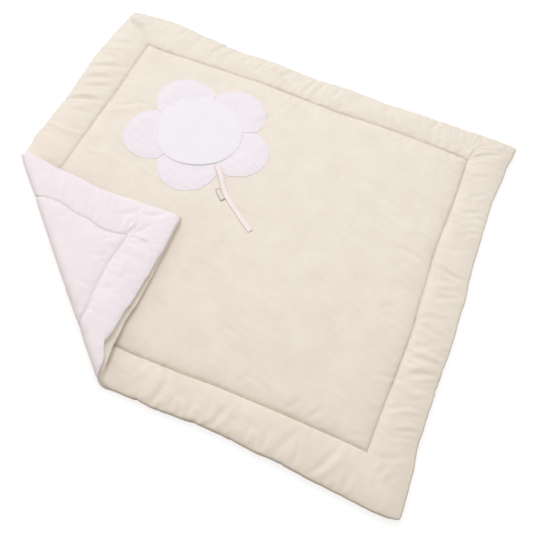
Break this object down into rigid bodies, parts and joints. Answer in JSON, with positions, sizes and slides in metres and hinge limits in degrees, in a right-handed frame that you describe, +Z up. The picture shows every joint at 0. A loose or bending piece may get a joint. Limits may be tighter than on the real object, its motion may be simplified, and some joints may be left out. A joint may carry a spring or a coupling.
{
  "type": "quilted baby play mat",
  "caption": "Padded rectangular play mat with a wide sewn border, a flower motif and a ribbon stem, lying flat with one corner folded over.",
  "frame": {"origin": "middle of the mat's unfolded cut, on the floor that it lies on", "axes": "+X along the long side, +Y along the short side away from the folded near corner, +Z up"},
  "size_m": [0.9646, 0.8694, 0.0404],
  "materials": {
    "face_cotton": "beige brushed cotton, matt",
    "back_cotton": "pale pink brushed cotton, matt",
    "petal_cotton": "pale pink cotton, matt",
    "disc_cotton": "off-white cotton, matt",
    "stem_ribbon": "pale pink ribbon, soft sheen",
    "tab_tape": "plain woven tape, unprinted"
  },
  "bodies": {
    "root": {"face_panel": "face_cotton", "back_panel": "back_cotton", "petal_1": "petal_cotton", "petal_2": "petal_cotton", "petal_3": "petal_cotton", "petal_4": "petal_cotton", "petal_5": "petal_cotton", "flower_centre": "disc_cotton", "stem_ribbon": "stem_ribbon", "stem_label": "tab_tape"}
  },
  "joints": []
}
